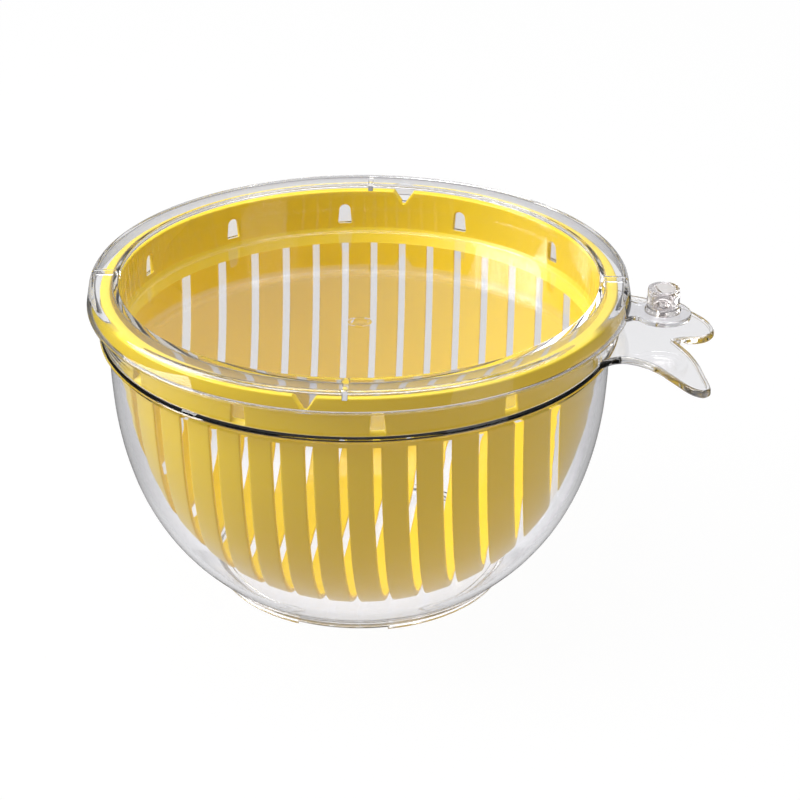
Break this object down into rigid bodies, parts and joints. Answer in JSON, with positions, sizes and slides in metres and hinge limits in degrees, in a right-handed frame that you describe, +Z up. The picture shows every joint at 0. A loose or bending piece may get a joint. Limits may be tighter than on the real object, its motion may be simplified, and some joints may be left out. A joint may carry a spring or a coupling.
{
  "type": "salad spinner",
  "caption": "Hand-turned salad spinner: clear bowl with a fish-tail handle, slotted yellow basket, and a clear recessed lid that turns with the basket by a small finger knob.",
  "frame": {"origin": "on the spin axis, at the surface that the foot ring stands on", "axes": "+Z up along the spin axis, +X along the fish-tail handle and, at rest, through the finger knob"},
  "size_m": [0.2582, 0.2226, 0.1364],
  "materials": {
    "clear_bowl": "polished clear styrene or acrylic moulding, faint cool tint, dark edge lines",
    "clear_lid": "polished clear styrene or acrylic moulding, faint cool tint",
    "yellow_basket": "opaque yellow moulding, semi-gloss with a soft sheen",
    "clear_knob": "clear moulding, slightly cloudy",
    "clear_pin": "clear moulding"
  },
  "bodies": {
    "bowl": {"bowl": "clear_bowl", "tail_handle": "clear_bowl"},
    "basket": {"basket": "yellow_basket"},
    "lid": {"lid": "clear_lid", "knob_pin": "clear_pin"},
    "knob": {"crank_knob": "clear_knob"}
  },
  "joints": [
    {"name": "basket_spin", "type": "hinge", "parent": "bowl", "child": "basket", "pos_m": [0, 0, 0.1235], "axis": [0, 0, 1], "continuous": true},
    {"name": "lid_lift", "type": "slide", "parent": "basket", "child": "lid", "axis": [0, 0, 1], "range_m": [0, 0.06]},
    {"name": "knob_spin", "type": "hinge", "parent": "lid", "child": "knob", "pos_m": [0.1242, 0, 0.1265], "axis": [0, 0, 1], "continuous": true}
  ]
}
